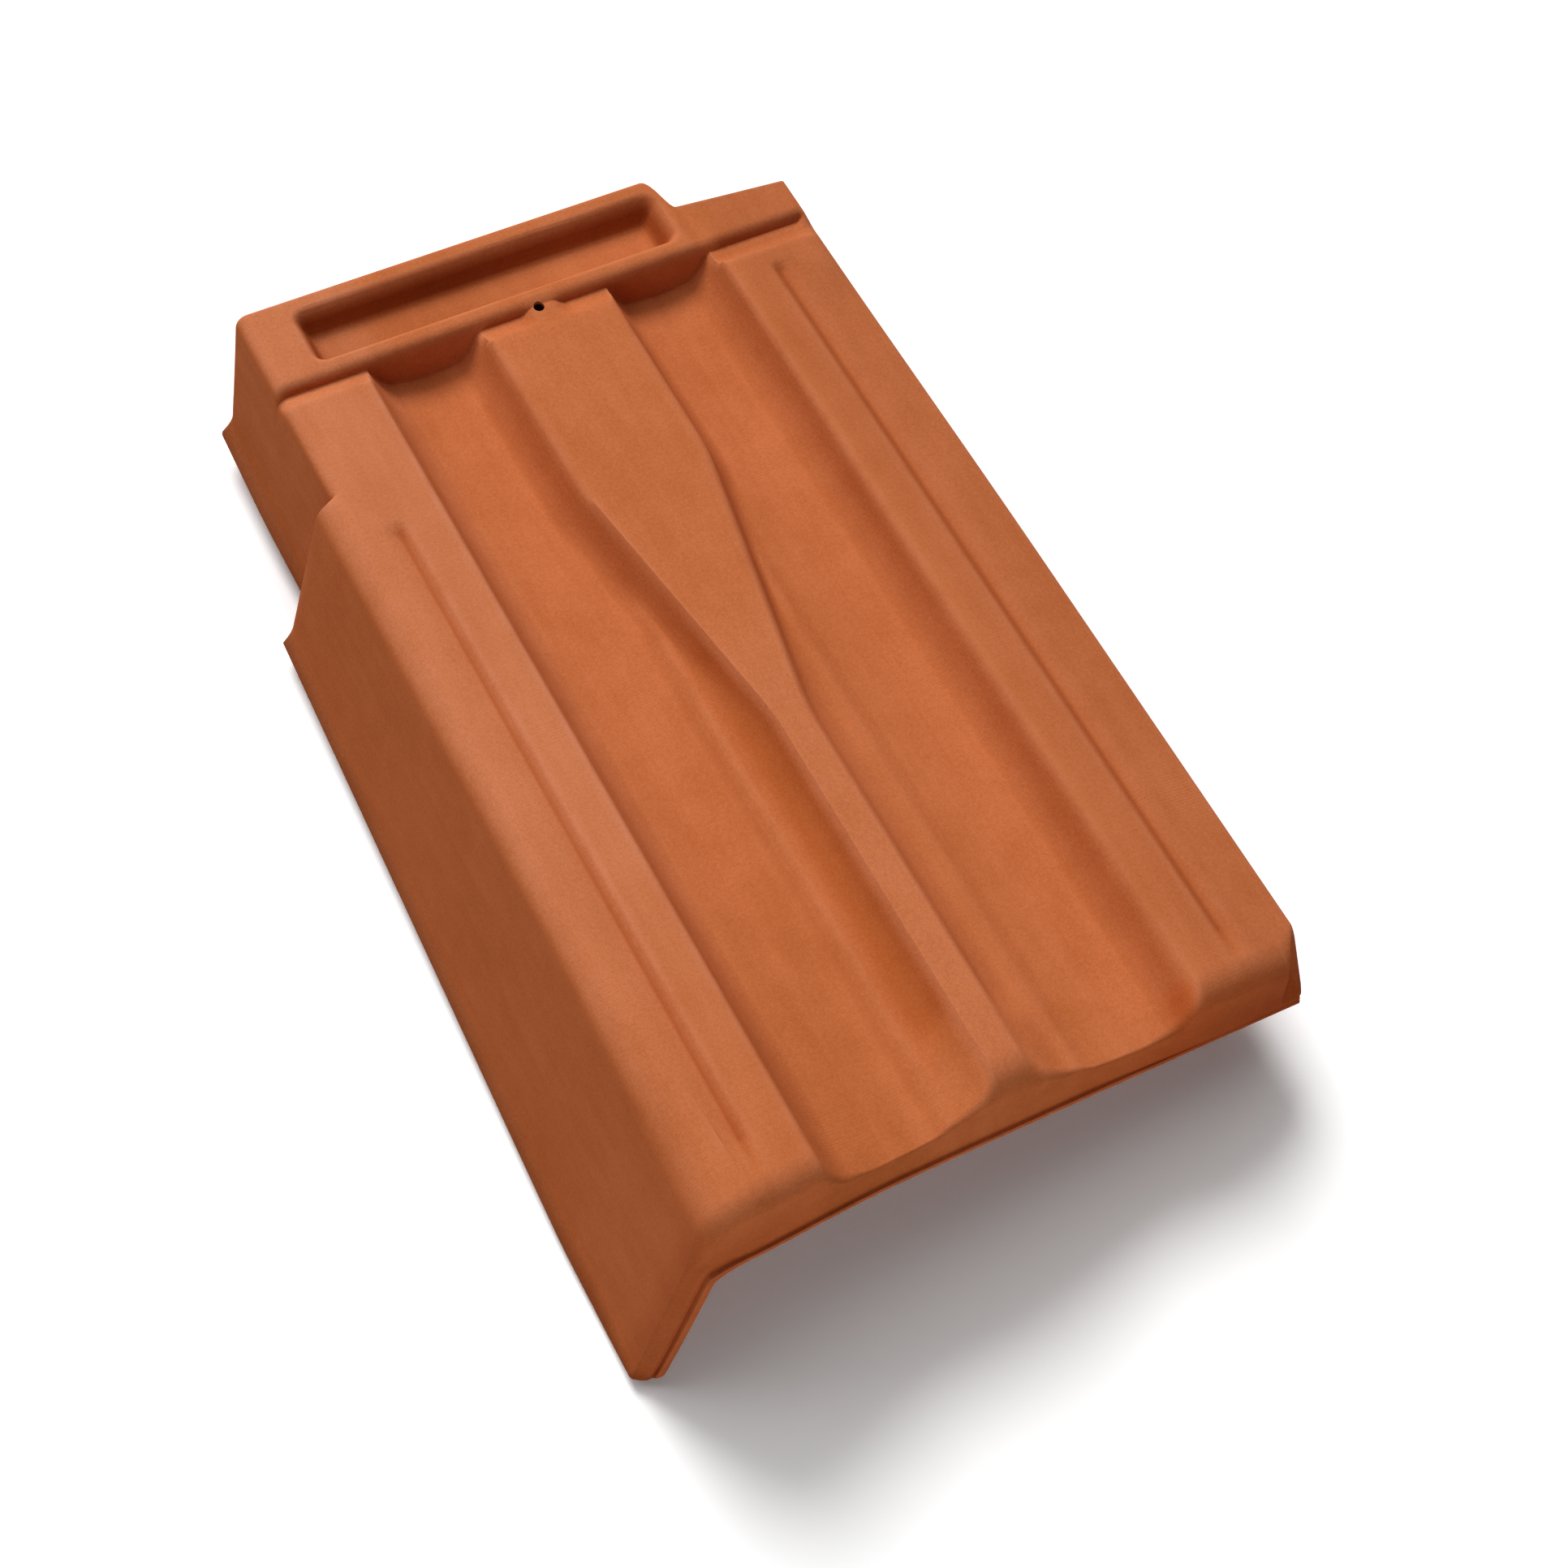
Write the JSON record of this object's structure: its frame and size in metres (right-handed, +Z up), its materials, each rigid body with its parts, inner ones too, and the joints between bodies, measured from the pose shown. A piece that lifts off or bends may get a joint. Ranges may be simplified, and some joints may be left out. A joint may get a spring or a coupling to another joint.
{
  "type": "clay verge roof tile",
  "caption": "Left-hand verge roof tile in fired clay: troughed interlocking deck, centre rib, deep side flap, head block with pocket.",
  "frame": {"origin": "centre of the bounding box's bottom, on the level floor that the tile rests on", "axes": "+Y from the nose up to the head, +X from the flap to the cover roll, +Z up; the deck is tipped because the tile lies on the flap's lower edge, the right nib and the skirt's rear corner"},
  "size_m": [0.2922, 0.4476, 0.1145],
  "materials": {
    "terracotta": "matte unglazed fired clay, fine sandy grain"
  },
  "bodies": {
    "root": {"verge_tile": "terracotta"}
  },
  "joints": []
}
